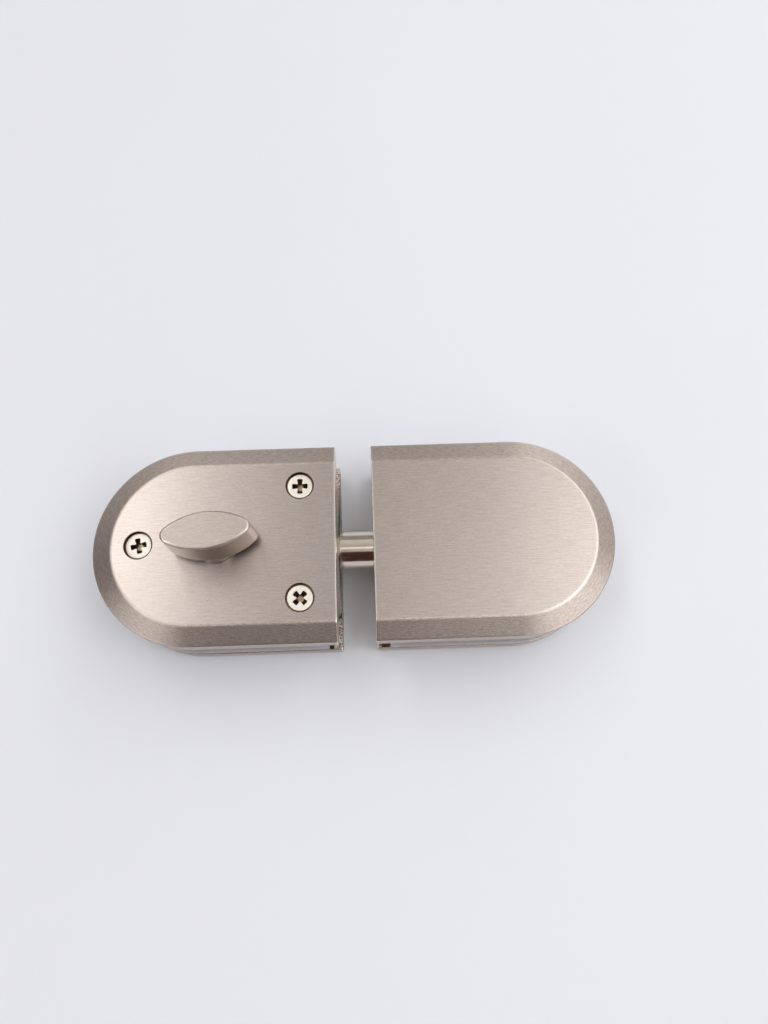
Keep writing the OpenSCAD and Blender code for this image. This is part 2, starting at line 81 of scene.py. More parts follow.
# Satin nickel: zinc casting, nickel plated and brushed with a belt, so it shows fine straight streaks
# and a highlight drawn out across them. Edges are smoother from abrasion and brighter in colour, partly from
# abrasion and partly as a painted highlight (uv map "wear", which carries both).
def satinNickel(name, look):
    material, tree, shader = startMaterial(name, {
        "Metallic": 1.0, "Anisotropic": look["anisotropy"], "Anisotropic Rotation": 0.25})
    brush = addNode(tree, "UVMap", {"uv_map": "brush"})     # mm along and across the brushing
    tangent = addNode(tree, "Tangent", {"direction_type": "UV_MAP", "uv_map": "brush"})
    wear = addNode(tree, "SeparateXYZ", None, {0: (addNode(tree, "UVMap", {"uv_map": "wear"}), "UV")})
    layers = []
    for length, width in look["streaks"]:                   # length and width of a streak, mm
        stretch = addNode(tree, "Mapping", None, {
            "Vector": (brush, "UV"), "Scale": (1 / length, 1 / width, 1)})
        layers.append(addNode(tree, "TexNoise", None, {
            "Vector": (stretch, "Vector"), "Scale": 1.0, "Detail": 1.5, "Roughness": 0.6}))
    streaks = addNode(tree, "Mix", None, {
        0: brushedLook["shortShare"], 2: (layers[0], 0), 3: (layers[1], 0)})
    crisp = addNode(tree, "MapRange", None, {
        0: (streaks, 0), 1: brushedLook["span"][0], 2: brushedLook["span"][1]})
    place = addNode(tree, "TexCoord")
    clouds = addNode(tree, "TexNoise", None, {
        "Vector": (place, "Object"), "Scale": 1 / (brushedLook["patchSize"] * mm), "Detail": 2.0})
    tone = addNode(tree, "Mix", {"data_type": "RGBA"}, {
        0: (crisp, 0), 6: linearColour(look["dark"]), 7: linearColour(look["light"])})
    pits = addNode(tree, "TexVoronoi", {"voronoi_dimensions": "2D"}, {
        "Vector": (brush, "UV"), "Scale": 1 / look["pitSpacing"]})
    pitted = addNode(tree, "MapRange", None, {
        0: (pits, "Distance"), 1: look["pitRadius"] / look["pitSpacing"], 2: 0.0,
        3: 0.0, 4: brushedLook["pitShade"]})
    spotted = addNode(tree, "Mix", {"data_type": "RGBA"}, {
        0: (pitted, 0), 6: (tone, 2), 7: linearColour(look["pit"])})
    # edges lighter by the amount in the uv map: partly abrasion, partly a painted highlight
    wornAndLit = addNode(tree, "Mix", {"data_type": "RGBA"}, {
        0: (wear, 0), 6: (spotted, 2), 7: linearColour(look["edge"])})
    tree.links.new(wornAndLit.outputs[2], shader.inputs["Base Color"])
    blend = addNode(tree, "Mix", None, {0: brushedLook["patchShare"], 2: (crisp, 0), 3: (clouds, 0)})
    spread = addNode(tree, "MapRange", None, {
        0: (blend, 0), 1: 0.2, 2: 0.8, 3: look["rough"][0], 4: look["rough"][1]})
    rubbedAndLit = addNode(tree, "Mix", None, {0: (wear, 0), 2: (spread, 0), 3: look["edgeRough"]})
    tree.links.new(rubbedAndLit.outputs[0], shader.inputs["Roughness"])
    bump = addNode(tree, "Bump", None, {
        "Height": (streaks, 0), "Strength": 1.0, "Distance": look["grooveDepth"] * mm})
    tree.links.new(bump.outputs["Normal"], shader.inputs["Normal"])
    tree.links.new(tangent.outputs["Tangent"], shader.inputs["Tangent"])
    return material


# Plated casting: a thin dull plating over the grainy skin that the die left, as inside the plates. It looks
# greyer than the brushed side, speckled, and only partly metallic. Grit is the real one drawn coarser, in mm.
def platedCasting(name, light="#E8DED0", dark="#75695D", rough=(0.5, 0.75), grit=0.62, relief=0.2,
                  metal=0.5):
    material, tree, shader = startMaterial(name, {"Metallic": metal})
    place = addNode(tree, "TexCoord")
    grains = addNode(tree, "TexNoise", None, {
        "Vector": (place, "Object"), "Scale": 1 / (grit * mm), "Detail": 1.5, "Roughness": 0.6})
    pits = addNode(tree, "TexVoronoi", None, {
        "Vector": (place, "Object"), "Scale": 1 / (2.2 * grit * mm)})
    patchy = addNode(tree, "MapRange", None, {0: (grains, 0), 1: 0.42, 2: 0.54})
    tone = addNode(tree, "Mix", {"data_type": "RGBA"}, {
        0: (patchy, 0), 6: linearColour(dark), 7: linearColour(light)})
    tree.links.new(tone.outputs[2], shader.inputs["Base Color"])
    spread = addNode(tree, "MapRange", None, {0: (grains, 0), 1: 0.3, 2: 0.7, 3: rough[0], 4: rough[1]})
    tree.links.new(spread.outputs[0], shader.inputs["Roughness"])
    height = addNode(tree, "Math", {"operation": "ADD"}, {0: (grains, 0), 1: (pits, "Distance")})
    bump = addNode(tree, "Bump", None, {"Height": (height, 0), "Strength": 0.8, "Distance": relief * mm})
    tree.links.new(bump.outputs["Normal"], shader.inputs["Normal"])
    return material


# Turned metal: rings of tool marks about an axis, fine enough to soften the highlight round the piece.
def turnedMetal(name, light, dark, rough=(0.14, 0.24), pitch=0.35, depth=0.004):
    material, tree, shader = startMaterial(name, {"Metallic": 1.0})
    brush = addNode(tree, "UVMap", {"uv_map": "brush"})
    stretch = addNode(tree, "Mapping", None, {"Vector": (brush, "UV"), "Scale": (0.05, 1 / pitch, 1)})
    rings = addNode(tree, "TexNoise", None, {
        "Vector": (stretch, "Vector"), "Scale": 1.0, "Detail": 3.0, "Roughness": 0.7})
    place = addNode(tree, "TexCoord")
    smudge = addNode(tree, "TexNoise", None, {"Vector": (place, "Object"), "Scale": 260.0, "Detail": 3.0})
    tone = addNode(tree, "Mix", {"data_type": "RGBA"}, {
        0: (smudge, 0), 6: linearColour(dark), 7: linearColour(light)})
    tree.links.new(tone.outputs[2], shader.inputs["Base Color"])
    blend = addNode(tree, "Mix", None, {0: 0.5, 2: (rings, 0), 3: (smudge, 0)})
    spread = addNode(tree, "MapRange", None, {0: (blend, 0), 1: 0.35, 2: 0.65, 3: rough[0], 4: rough[1]})
    tree.links.new(spread.outputs[0], shader.inputs["Roughness"])
    bump = addNode(tree, "Bump", None, {"Height": (rings, 0), "Strength": 0.5, "Distance": depth * mm})
    tree.links.new(bump.outputs["Normal"], shader.inputs["Normal"])
    return material


# Machined small part (brass, spring steel, zinc): faint mottling and fine scratches in every direction.
def machinedMetal(name, light, dark, rough=(0.25, 0.4), grain=0.5, depth=0.01):
    material, tree, shader = startMaterial(name, {"Metallic": 1.0})
    place = addNode(tree, "TexCoord")
    centre = addNode(tree, "Mapping", None, {"Vector": (place, "Object"), "Scale": (1, 1, 0.25)})
    mottle = addNode(tree, "TexNoise", None, {
        "Vector": (centre, "Vector"), "Scale": 1 / (grain * mm), "Detail": 4.0, "Roughness": 0.65})
    tone = addNode(tree, "Mix", {"data_type": "RGBA"}, {
        0: (mottle, 0), 6: linearColour(dark), 7: linearColour(light)})
    tree.links.new(tone.outputs[2], shader.inputs["Base Color"])
    spread = addNode(tree, "MapRange", None, {0: (mottle, 0), 1: 0.3, 2: 0.7, 3: rough[0], 4: rough[1]})
    tree.links.new(spread.outputs[0], shader.inputs["Roughness"])
    bump = addNode(tree, "Bump", None, {"Height": (mottle, 0), "Strength": 0.5, "Distance": depth * mm})
    tree.links.new(bump.outputs["Normal"], shader.inputs["Normal"])
    return material


# Soft PVC: calendered sheet, pale grey and a little translucent, with a faint orange-peel skin.
def softPvc(name, light="#C9C8CA", dark="#B8B7BA"):
    material, tree, shader = startMaterial(name, {
        "IOR": 1.53, "Subsurface Weight": 0.25, "Subsurface Scale": 1.5 * mm})
    shader.inputs["Subsurface Radius"].default_value = (1.0, 1.0, 1.1)
    place = addNode(tree, "TexCoord")
    peel = addNode(tree, "TexNoise", None, {"Vector": (place, "Object"), "Scale": 1400.0, "Detail": 2.0})
    cloud = addNode(tree, "TexNoise", None, {"Vector": (place, "Object"), "Scale": 120.0, "Detail": 3.0})
    tone = addNode(tree, "Mix", {"data_type": "RGBA"}, {
        0: (cloud, 0), 6: linearColour(dark), 7: linearColour(light)})
    tree.links.new(tone.outputs[2], shader.inputs["Base Color"])
    spread = addNode(tree, "MapRange", None, {0: (cloud, 0), 1: 0.3, 2: 0.7, 3: 0.4, 4: 0.55})
    tree.links.new(spread.outputs[0], shader.inputs["Roughness"])
    bump = addNode(tree, "Bump", None, {"Height": (peel, 0), "Strength": 0.4, "Distance": 0.03 * mm})
    tree.links.new(bump.outputs["Normal"], shader.inputs["Normal"])
    return material


# streaks are [length, width] in mm; real brush lines are under 0.1 mm wide and are drawn 0.2 to 0.3 mm wide
# edge is the colour of brightened edges: partly abrasion, partly a painted highlight
plateFinish = satinNickel("satin_nickel_belt_brushed", dict(
    light="#CDC4BD", dark="#B6ABA4", edge="#DDD5CE", rough=(0.32, 0.37), edgeRough=0.26,
    anisotropy=0.86, streaks=[(5.0, 0.26), (1.0, 0.22)], grooveDepth=0.006,
    pit="#5B5048", pitRadius=0.16, pitSpacing=17.0))
borderFinish = satinNickel("satin_nickel_border", dict(
    light="#CFC4BC", dark="#A2968E", edge="#DDD5CE", rough=(0.34, 0.41), edgeRough=0.24,
    anisotropy=0.55, streaks=[(1.7, 0.26), (0.6, 0.24)], grooveDepth=0.018,
    pit="#5B5048", pitRadius=0.16, pitSpacing=17.0))
knobFinish = satinNickel("satin_nickel_knob", dict(
    light="#C0B6AE", dark="#A69C94", edge="#DDD5CE", rough=(0.34, 0.42), edgeRough=0.25,
    anisotropy=0.6, streaks=[(5.0, 0.3), (1.2, 0.24)], grooveDepth=0.005,
    pit="#5B5048", pitRadius=0.14, pitSpacing=9.0))
knobSideFinish = satinNickel("satin_nickel_knob_side", dict(
    light="#C3B8AF", dark="#B2A79E", edge="#DDD5CE", rough=(0.19, 0.26), edgeRough=0.2,
    anisotropy=0.2, streaks=[(5.0, 0.3), (1.2, 0.24)], grooveDepth=0.003,
    pit="#5B5048", pitRadius=0.14, pitSpacing=9.0))
insideFinish = platedCasting("nickel_plated_die_casting")
caseFinish = platedCasting("zinc_die_casting", "#B9B2A9", "#A39C93", (0.48, 0.6), 0.7, 0.03, 0.85)
screwFinish = turnedMetal("nickel_plated_screw", "#EAE3DA", "#E0D8CE", (0.36, 0.48), 0.3, 0.006)
# the recess colour is painted shade: dark brown for the sinks, grooves, open corners and cross recesses
recessShadeFinish = turnedMetal("recess_painted_shade", "#85735F", "#4A3C30", (0.22, 0.4), 0.3, 0.01)
# the recess bottom's lighter colour is a painted highlight
recessBottomHighlightFinish = turnedMetal("recess_bottom_painted_highlight", "#B5A48D", "#7D6C59", (0.3, 0.4), 0.3, 0.01)
boltFinish = turnedMetal("polished_nickel_steel", "#DCD2C6", "#CABFB2", (0.11, 0.17), 0.4, 0.004)
brassFinish = machinedMetal("machined_brass", "#D8BE82", "#BFA468")
bushFinish = machinedMetal("nickel_plated_brass", "#CFC7B4", "#BDB39E", (0.2, 0.32))
springFinish = machinedMetal("spring_steel", "#8E9095", "#6E7075", (0.28, 0.42), 0.4)
pinFinish = machinedMetal("ground_steel", "#A9A9AB", "#909194", (0.18, 0.3), 0.3)
gasketFinish = softPvc("soft_pvc_sheet")
print("materials ready")


# makes a mesh object of vertices in mm, faces, and for each face corner a brush uv and an edge brightening of
# 0 to 1, partly abrasion and partly a painted highlight
def meshPiece(name, vertices, faces, cornerUv, finishes, slots=None, cornerWearAndHighlight=None):
    mesh = bpy.data.meshes.new(name)
    mesh.from_pydata(vertices.tolist(), [], faces)
    layer = mesh.uv_layers.new(name="brush")
    layer.data.foreach_set("uv", np.ascontiguousarray(cornerUv, np.float32).ravel())
    rubbedAndLit = np.zeros((len(cornerUv), 2), np.float32)
    if cornerWearAndHighlight is not None:
        rubbedAndLit[:, 0] = cornerWearAndHighlight
    mesh.uv_layers.new(name="wear").data.foreach_set("uv", rubbedAndLit.ravel())
    for finish in finishes:
        mesh.materials.append(finish)
    if slots is not None:
        mesh.polygons.foreach_set("material_index", np.ascontiguousarray(slots, np.int32))
    piece = bpy.data.objects.new(name, mesh)
    bpy.context.scene.collection.objects.link(piece)
    return piece


# welds doubled points, fills open loops and turns the faces outwards
def closeShell(piece, fillSlot=0, weld=0.002):
    shell = bmesh.new()
    shell.from_mesh(piece.data)
    bmesh.ops.remove_doubles(shell, verts=shell.verts, dist=weld)
    bmesh.ops.dissolve_degenerate(shell, edges=shell.edges, dist=weld / 4)
    rim = [edge for edge in shell.edges if edge.is_boundary]
    if rim:
        filled = bmesh.ops.holes_fill(shell, edges=rim)["faces"]
        layer = shell.loops.layers.uv["brush"]
        for face in filled:
            face.material_index = fillSlot
            for corner in face.loops:
                corner[layer].uv = corner.vert.co.yz
    bmesh.ops.recalc_face_normals(shell, faces=shell.faces)
    shell.to_mesh(piece.data)
    shell.free()
    return piece


# surface through closed rings: P(row, column) = rings[row, column], quads between rows and a flat face
# over each end; the uv runs round the ring and from ring to ring, in mm, and is flat on the ends
def stackedRings(name, rings, finishes, slot=0, endAxes=(0, 1), rowWearAndHighlight=None):
    rows, columns = rings.shape[:2]
    index = np.arange(rows * columns).reshape(rows, columns)
    beside = np.roll(index, -1, axis=1)
    quads = np.stack([index[:-1], beside[:-1], beside[1:], index[1:]], axis=-1).reshape(-1, 4)
    around = np.linalg.norm(np.roll(rings, -1, axis=1) - rings, axis=-1)
    u = np.concatenate([np.zeros((rows, 1)), np.cumsum(around, axis=1)], axis=1)
    along = np.linalg.norm(np.diff(rings, axis=0), axis=-1).mean(axis=1)
    v = np.concatenate([[0], np.cumsum(along)])[:, None] + np.zeros_like(u)
    uv = np.stack([u, v], axis=-1)
    cornerUv = np.stack([uv[:-1, :-1], uv[:-1, 1:], uv[1:, 1:], uv[1:, :-1]], axis=2).reshape(-1, 2)
    flat = rings[..., list(endAxes)]
    cornerUv = np.concatenate([cornerUv, flat[0][::-1], flat[-1]])
    wear = np.zeros(rows) if rowWearAndHighlight is None else np.asarray(rowWearAndHighlight, float)
    wear = wear.reshape(rows, -1) + np.zeros((rows, columns))
    ahead = np.roll(wear, -1, axis=1)
    brightGrid = np.stack([wear[:-1], ahead[:-1], ahead[1:], wear[1:]], axis=-1)
    cornerWearAndHighlight = np.concatenate([brightGrid.ravel(), wear[0][::-1], wear[-1]])
    faces = quads.tolist() + [index[0][::-1].tolist(), index[-1].tolist()]
    piece = meshPiece(name, rings.reshape(-1, 3), faces, cornerUv, finishes, np.full(len(faces), slot),
                      cornerWearAndHighlight)
    return closeShell(piece)


# body of revolution about z at (x, y): P(row, angle) = (x + r cos a, y + r sin a, z) for each (r, z)
def turnedBody(name, profile, finishes, slot=0, centre=(0, 0), steps=64, rowWearAndHighlight=None):
    profile = np.asarray(profile, float)
    angle = np.arange(steps) * 2 * math.pi / steps
    rings = np.stack([
        centre[0] + profile[:, :1] * np.cos(angle),
        centre[1] + profile[:, :1] * np.sin(angle),
        profile[:, 1:] + 0 * angle], axis=-1)
    return stackedRings(name, rings, finishes, slot, (0, 1), rowWearAndHighlight)


# straight prism: P(level, i) = (outline(i), z) for the two levels z
def prism(name, outline, low, high, finishes, slot=0):
    outline = np.asarray(outline, float)
    rings = np.stack([np.column_stack([outline, np.full(len(outline), z)]) for z in (low, high)])
    return stackedRings(name, rings, finishes, slot)


# quarter arc from angle a0 to a1 (degrees) about (cx, cy): (cx + r cos a, cy + r sin a)
def arc(cx, cy, radius, a0, a1, steps=5):
    angle = np.radians(np.linspace(a0, a1, steps + 1))
    return np.column_stack([cx + radius * np.cos(angle), cy + radius * np.sin(angle)])


# tongue seen from above: straight sides from x0, half circle of radius width / 2 ending at x1
def tongueOutline(width, x0, x1, steps=64):
    half = width / 2
    turn = arc(x1 - half, 0, half, -90, 90, steps)
    return np.concatenate([[(x0, -half)], turn, [(x0, half)]])


def box(x0, x1, y0, y1):
    return [(x0, y0), (x1, y0), (x1, y1), (x0, y1)]


# height part of each face's normal: 1 faces up, 0 stands upright, -1 faces down
def facesUp(piece):
    normals = np.empty(len(piece.data.polygons) * 3)
    piece.data.polygons.foreach_get("normal", normals)
    return normals.reshape(-1, 3)[:, 2]


# runs one boolean after another on a piece and deletes the tools
def carve(piece, tools, operation="DIFFERENCE"):
    for tool in tools:
        change = piece.modifiers.new("carve", "BOOLEAN")
        change.operation = operation
        change.solver = "MANIFOLD"
        change.object = tool
        bakeModifiers(piece)
        old = tool.data
        bpy.data.objects.remove(tool)
        bpy.data.meshes.remove(old)
    return piece


def bakeModifiers(piece):
    graph = bpy.context.evaluated_depsgraph_get()
    made = bpy.data.meshes.new_from_object(piece.evaluated_get(graph), depsgraph=graph)
    piece.modifiers.clear()
    old = piece.data
    piece.data = made
    bpy.data.meshes.remove(old)


# half frame (mm, x inwards from the flat end) to the row frame (m)
def halfPlace(side):
    return Matrix.Translation((side * 5.5 * mm, 0, 0)) @ Matrix.Diagonal((side * mm, mm, mm, 1))


turnOver = Matrix.Translation((0, 0, totalHeight)) @ Matrix.Diagonal((1, 1, -1, 1))
lockSide, keeperSide = halfPlace(-1), halfPlace(1)


# moves a piece to its place, turns its faces outwards, smooths it and hangs it on its body
def finishPiece(piece, place, body, replaced, sharp=32):
    mesh = piece.data
    mesh.transform(place)
    if place.determinant() < 0:
        mesh.flip_normals()
    mesh.shade_smooth()
    mesh.set_sharp_from_angle(angle=math.radians(sharp))
    even = piece.modifiers.new("even normals", "WEIGHTED_NORMAL")
    even.keep_sharp = True
    even.mode = "FACE_AREA"
    bakeModifiers(piece)
    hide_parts(*replaced)
    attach(piece, body)
    return piece


plateLook = dict(
    width=59.998, length=71.988, thick=8.0,     # a hair under the CAD's 60 x 72
    bevelWidth=5.8, bevelDrop=2.2, arrisRadius=3.0,
    rimSoft=0.3,        # inner corner of the rim
    rimBand=0.9,        # width of the plated band inside the rim, round the rough casting
    crestSoft=0.5,      # corner between rim and border
    endSoft=0.22,       # edges of the flat end
    brightReach=0.5,      # how far the brightening of an edge reaches: partly abrasion, partly a painted highlight
    # brightening of the arris and the crest: partly abrasion, partly a painted highlight
    arrisWearAndHighlight=0.6, crestWearAndHighlight=0.35,
    lipSoft=0.16,       # lip of each counterbore
    endSteps=6, sideSteps=7, turnSteps=97,
    caseWidth=40.0, caseLength=62.0, seatGap=0.25, seatDepth=1.5,     # the case and its seat in the plate
    hollowStart=3.0, hollowWall=1.5, faceThick=3.4,
    bossRadius=4.5, hubBossRadius=8.5, hubBossThick=4.2,
    grooveAt=25.4, grooveHalf=4.2, grooveTop=4.0,     # grooves beside the case, near the rims; their dark colour is painted shade
    screwHole=2.2, headRadius=3.75, headDepth=1.35, counterbore=4.15, tapRadius=2.0, tapDepth=5.0,
    hubHole=5.52, hubSink=6.1, hubSinkDepth=0.6, hubLip=0.12,
    reliefStart=-0.35, reliefEnd=1.0, reliefWidth=1.7,     # corners left open beside the case's flat end
)
plateFinishes = [plateFinish, insideFinish, recessShadeFinish, borderFinish]    # face, inside, sinks and grooves in painted shade, border
# [x, y, turn of the cross in degrees] in the half frame
screwSpots = [(10.611, -17.0, 45.0), (10.611, 17.0, 0.0), (58.0, 0.0, -12.0)]


# half cross-section as (distance in from the rim, height): inner side, rim, sloping border, arris, face
def plateProfile(look):
    half, top = look["width"] / 2, look["thick"]
    rimTop = top - look["bevelDrop"]
    slope = math.atan2(look["bevelDrop"], look["bevelWidth"])
    slopeDeg = math.degrees(slope)
    soft = look["rimSoft"]
    corner = arc(soft, soft, soft, 270, 180, 4)
    crest = look["crestSoft"]
    back = crest * math.tan((math.pi / 2 - slope) / 2)
    crestArc = arc(crest, rimTop - back, crest, 180, 90 + slopeDeg, 5)
    radius = look["arrisRadius"]
    arrisAt = look["bevelWidth"] + radius * math.tan(slope / 2)
    arrisArc = arc(arrisAt, top - radius, radius, 90 + slopeDeg, 90, 8)
    calm = look["brightReach"]
    away = np.array([math.cos(slope), math.sin(slope)]) * calm
    points = np.concatenate([
        [(half, 0), (half / 2, 0), (look["rimBand"], 0)], corner,
        [crestArc[0] - (0, calm)], crestArc, [crestArc[-1] + away],
        [arrisArc[0] - away], arrisArc, [arrisArc[-1] + (calm, 0)], [(20, top), (half, top)]])
    # the arris and the crest are brightened: partly abrasion, partly a painted highlight
    bell = look["arrisWearAndHighlight"] * np.sin(np.linspace(0, math.pi, len(arrisArc)))
    rimWearAndHighlight = np.concatenate([np.zeros(4 + len(corner)), 0 * crestArc[:, 0] + look["crestWearAndHighlight"]])
    wear = np.concatenate([rimWearAndHighlight, [0, 0], bell, [0, 0, 0]])
    return points, wear, len(rimWearAndHighlight), len(points) - 4     # border and face start at these points


# plate: the profile carried round the outline, P(s, j) = outline(s) + inward normal * distance(j), height(j);
# the first and last rows pull in by soft (1 - cos a) and forward by soft (1 - sin a) to round the flat end
def plateBody(name, start, look, endSlot):
    profile, profileWearAndHighlight, borderStart, faceStart = plateProfile(look)
    half = look["width"] / 2
    centre = look["length"] - half
    step = np.gradient(profile, axis=0)
    step[0], step[-1] = (-1, 0), (1, 0)
    outward = np.column_stack([-step[:, 1], step[:, 0]])
    outward /= np.linalg.norm(outward, axis=1, keepdims=True)
    soft = look["endSoft"]
    lean = np.radians(np.linspace(90, 0, look["endSteps"]))
    pull = soft * (1 - np.cos(lean))
    endX = start + soft * (1 - np.sin(lean))
    sides = np.linspace(start + soft + look["brightReach"], centre, look["sideSteps"])
    straight = np.concatenate([endX, sides])
    inset = np.concatenate([pull, 0 * sides])
    # the flat end's softened edges are brightened fully: partly abrasion, partly a painted highlight
    rowWearAndHighlight = np.concatenate([np.ones(len(pull)), 0 * sides])
    turn = np.radians(np.linspace(-90, 90, look["turnSteps"]))[1:-1]
    quarter = np.full(len(straight), math.pi / 2)
    pathX = np.concatenate([straight, np.full(len(turn), centre), straight[::-1]])
    pathTurn = np.concatenate([-quarter, turn, quarter])
    inset = np.concatenate([inset, np.zeros(len(turn)), inset[::-1]])
    rowWearAndHighlight = np.concatenate([rowWearAndHighlight, np.zeros(len(turn)), rowWearAndHighlight[::-1]])
    shifted = profile[None] - inset[:, None, None] * outward[None]
    radius = half - shifted[..., 0]
    x = pathX[:, None] + radius * np.cos(pathTurn)[:, None]
    y = radius * np.sin(pathTurn)[:, None]
    points = np.stack([x, y, shifted[..., 1]], axis=-1)
    rows, columns = points.shape[:2]
    index = np.arange(rows * columns).reshape(rows, columns)
    quads = np.stack([index[:-1, :-1], index[1:, :-1], index[1:, 1:], index[:-1, 1:]], axis=-1)
    # brushing: straight along x on the face and the inner side, round the contour on rim, border and arris;
    # the contour's v starts at 90 mm, well away from the face's own streaks
    walk = np.where(pathTurn < 0, pathX - start, 2 * centre - pathX - start)[:, None]
    contourU = walk + (pathTurn[:, None] + math.pi / 2) * radius
    lengths = np.linalg.norm(np.diff(profile, axis=0), axis=1)
    contourV = np.concatenate([[0], np.cumsum(lengths)])[None] + 0 * contourU
    contour = np.stack([contourU, contourV + 90], axis=-1)
    flat = points[..., :2]
    across = np.arange(columns - 1)
    onFlat = (across >= faceStart) | (across < 3)
    corners = [(slice(None, -1), slice(None, -1)), (slice(1, None), slice(None, -1)),
               (slice(1, None), slice(1, None)), (slice(None, -1), slice(1, None))]
    cornerUv = np.stack([
        np.where(onFlat[None, :, None], flat[rowCut, colCut], contour[rowCut, colCut])
        for rowCut, colCut in corners], axis=2)
    slots = np.select([across < 2, across < faceStart], [1, 3], 0)
    slots = np.broadcast_to(slots, (rows - 1, columns - 1))
    # the arris brightening fades to nothing along the straight sides and is full round the curved end, as a
    # painted highlight
    bend = np.where(np.arange(columns) < borderStart, 1, np.cos(pathTurn)[:, None])
    wear = np.maximum(rowWearAndHighlight[:, None], profileWearAndHighlight[None] * bend)
    cornerWearAndHighlight = np.stack([wear[rowCut, colCut] for rowCut, colCut in corners], axis=2)
    piece = meshPiece(name, points.reshape(-1, 3), quads.reshape(-1, 4).tolist(), cornerUv.reshape(-1, 2),
                      plateFinishes, slots.ravel(), cornerWearAndHighlight.ravel())
    return closeShell(piece, endSlot)


# round cut with a softened lip: bore, cone and counterbore, opening at the face z = top
def sinkCutter(x, y, steps, top, soft, bottom=-1.0):
    width = steps[-1][0]
    lip = arc(width + soft, top - soft, soft, 180, 98, 4)
    profile = [(steps[0][0], bottom)] + list(steps) + lip.tolist() + [(lip[-1][0], top + 1)]
    # the softened lip is marked fully brightened: abrasion and painted highlight
    wear = [0] * (1 + len(steps)) + [1] * (len(lip) + 1)
    # the whole cut takes slot 2, the recess colour, which is painted shade
    return turnedBody("sink", profile, plateFinishes, 2, (x, y), 72, wear)


# what is cut from a plate: the case's seat and hollow, the grooves, the holes of the screws and thumbturn
def plateTools(look, sunk, hub, groove):
    top, caseWidth, caseLength = look["thick"], look["caseWidth"], look["caseLength"]
    gap, wall = look["seatGap"], look["hollowWall"]
    seat = prism("seat", tongueOutline(caseWidth + 2 * gap, -5, caseLength + gap), -1,
                 look["seatDepth"], plateFinishes, 1)
    hollow = prism("hollow", tongueOutline(caseWidth - 2 * wall, look["hollowStart"], caseLength - wall),
                   -0.9, top - look["faceThick"], plateFinishes, 1)
    boss, hubBoss = look["bossRadius"], look["hubBossRadius"]
    bosses = [turnedBody("boss", [(boss, -2), (boss, top)], plateFinishes, 1, (x, y))
              for x, y, turn in screwSpots]
    if hub:
        bosses.append(turnedBody("boss", [(hubBoss, top - look["hubBossThick"]), (hubBoss, top)],
                                 plateFinishes, 1, (hub, 0)))
    carve(hollow, bosses)
    tools = [seat, hollow]
    for side in (-1, 1):
        middleY = side * look["grooveAt"]
        # the grooves take slot 2, the recess colour, which is painted shade
        tools.append(prism("groove", box(*groove, middleY - look["grooveHalf"], middleY + look["grooveHalf"]),
                           -1, look["grooveTop"], plateFinishes, 2))
    coneTop = top - look["headDepth"]
    coneFoot = coneTop - (look["headRadius"] - look["screwHole"])
    steps = [(look["screwHole"], coneFoot), (look["headRadius"], coneTop), (look["counterbore"], coneTop)]
    tap, tapTop = look["tapRadius"], look["tapDepth"]
    for x, y, turn in screwSpots:
        if sunk:
            tools.append(sinkCutter(x, y, steps, top, look["lipSoft"]))
        else:
            tools.append(turnedBody("tapped", [(tap, -1), (tap, tapTop), (0.3, tapTop + 0.4)],
                                    plateFinishes, 1, (x, y), 48))
    if hub:
        floor = top - look["hubSinkDepth"]
        tools.append(sinkCutter(hub, 0, [(look["hubHole"], floor), (look["hubSink"], floor)], top,
                                look["hubLip"]))
    return tools


# one plate on its half: its flat end at start, with countersunk screws or not, turned over at the back or not
def plate(name, half, start, sunk, over, body, groove, hub=None):
    endSlot = 1 if over else 0      # the back plates' flat ends were left as cast
    look = plateLook
    tools = plateTools(look, sunk, hub, groove)
    if start < 0:                   # corner left open beside the case's broken corners, coloured dark as painted shade
        seatY = look["caseWidth"] / 2 + look["seatGap"]
        front = look["reliefStart"]
        for side in (-1, 1):
            corner = [(front, side * (seatY - look["reliefWidth"])), (look["reliefEnd"], side * seatY),
                      (front, side * seatY)]
            tools.append(prism("corner", corner, -1, look["grooveTop"], plateFinishes, 2))
    piece = carve(plateBody(name, start, look, endSlot), tools)
    lift = Matrix.Translation((0, 0, totalHeight - look["thick"]))
    place = half @ (turnOver @ lift if over else lift)
    finishPiece(piece, place, body, [name.replace("_skin", "")], 28)
    print("made", name, len(piece.data.polygons), "faces")


knobX = 35.3
lockGroove, keeperGroove = (2.2, 3.6), (1.5, 4.2)     # between these distances from the flat end, mm
plate("lock_front_plate_skin", lockSide, 0.0, True, False, "lock_body", lockGroove, knobX)
plate("lock_back_plate_skin", lockSide, -0.5, False, True, "lock_body", lockGroove)
plate("keeper_front_plate_skin", keeperSide, 0.0, False, False, "keeper", keeperGroove)
plate("keeper_back_plate_skin", keeperSide, 0.0, True, True, "keeper", keeperGroove)


gasketLook = dict(thick=1.5, soft=0.3, outerWidth=59.2, outerEnd=71.6, innerWidth=41.0, sideSteps=6)


